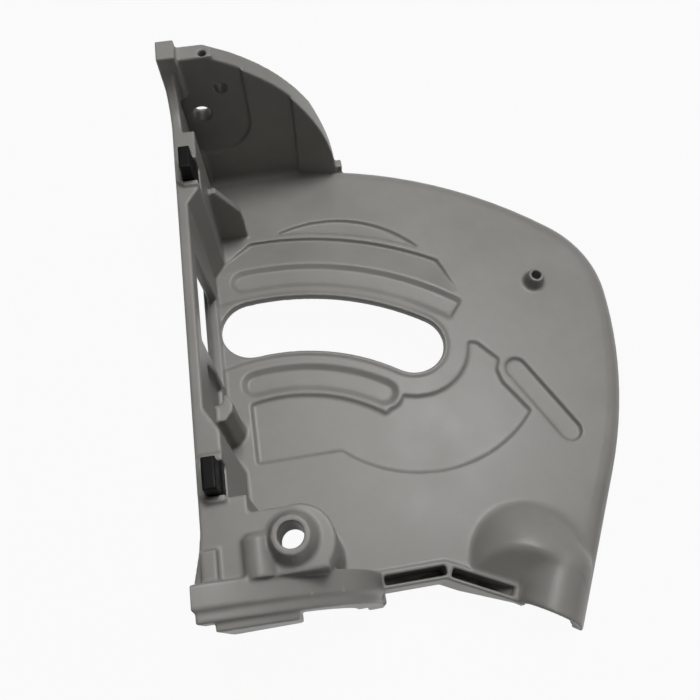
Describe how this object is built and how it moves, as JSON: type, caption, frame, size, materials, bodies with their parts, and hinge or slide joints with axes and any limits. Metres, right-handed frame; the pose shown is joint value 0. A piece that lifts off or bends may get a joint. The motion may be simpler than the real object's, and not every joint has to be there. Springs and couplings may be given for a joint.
{
  "type": "saw blade guard housing",
  "caption": "Cast blade housing of a plunge-cut saw, motor side up, with a bent spindle opening, base wall, bevel arcs, arm bore, dust outlet and rubber buffers.",
  "frame": {"origin": "centre of the arm bore's mouth, on the axis about which the saw arm turns", "axes": "+Z along the arm bore, out of its mouth towards the motor side; +Y to the front of the saw; -X to the saw's base plate"},
  "size_m": [0.1828, 0.2346, 0.0985],
  "materials": {
    "casting": "satin",
    "rubber": "matt"
  },
  "bodies": {
    "root": {"housing": "casting", "front_buffer": "rubber", "rear_buffer": "rubber"}
  },
  "joints": []
}
